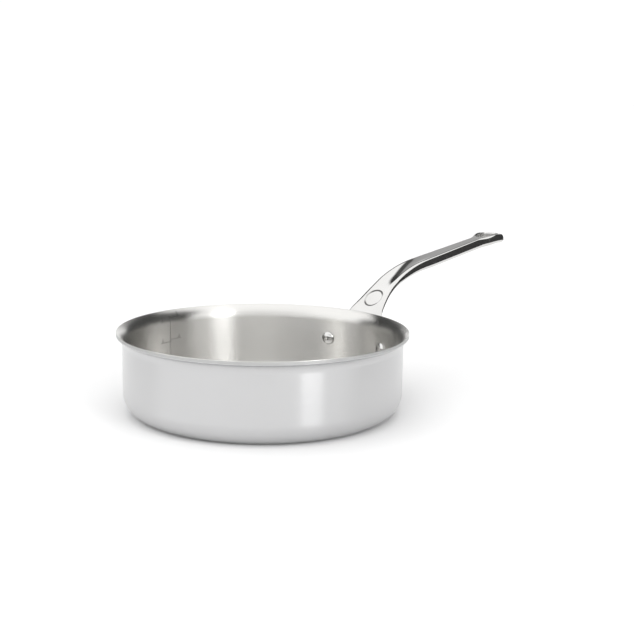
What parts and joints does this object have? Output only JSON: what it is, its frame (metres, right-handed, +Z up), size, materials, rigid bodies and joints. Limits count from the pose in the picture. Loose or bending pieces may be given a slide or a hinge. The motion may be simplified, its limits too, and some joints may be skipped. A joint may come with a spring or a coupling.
{
  "type": "saute pan",
  "caption": "Straight-sided clad steel saute pan with a flared pouring lip, and a long cast handle with a hanging loop, riveted to the wall.",
  "frame": {"origin": "centre of the base's underside, on the pan's axis", "axes": "+Z up along the pan's axis, +X out along the handle"},
  "size_m": [0.4692, 0.2596, 0.1365],
  "materials": {
    "satin_steel": "satin, turned in fine rings",
    "aluminium": "bare cut edge",
    "brushed_steel": "fine brushed around the wall",
    "polished_steel": "mirror polished stainless casting"
  },
  "bodies": {
    "root": {"cooking_lining": "satin_steel", "upper_bond_layer": "aluminium", "heat_core": "aluminium", "lower_bond_layer": "aluminium", "outer_skin": "brushed_steel", "handle": "polished_steel", "rivet_left": "polished_steel", "rivet_right": "polished_steel"}
  },
  "joints": []
}
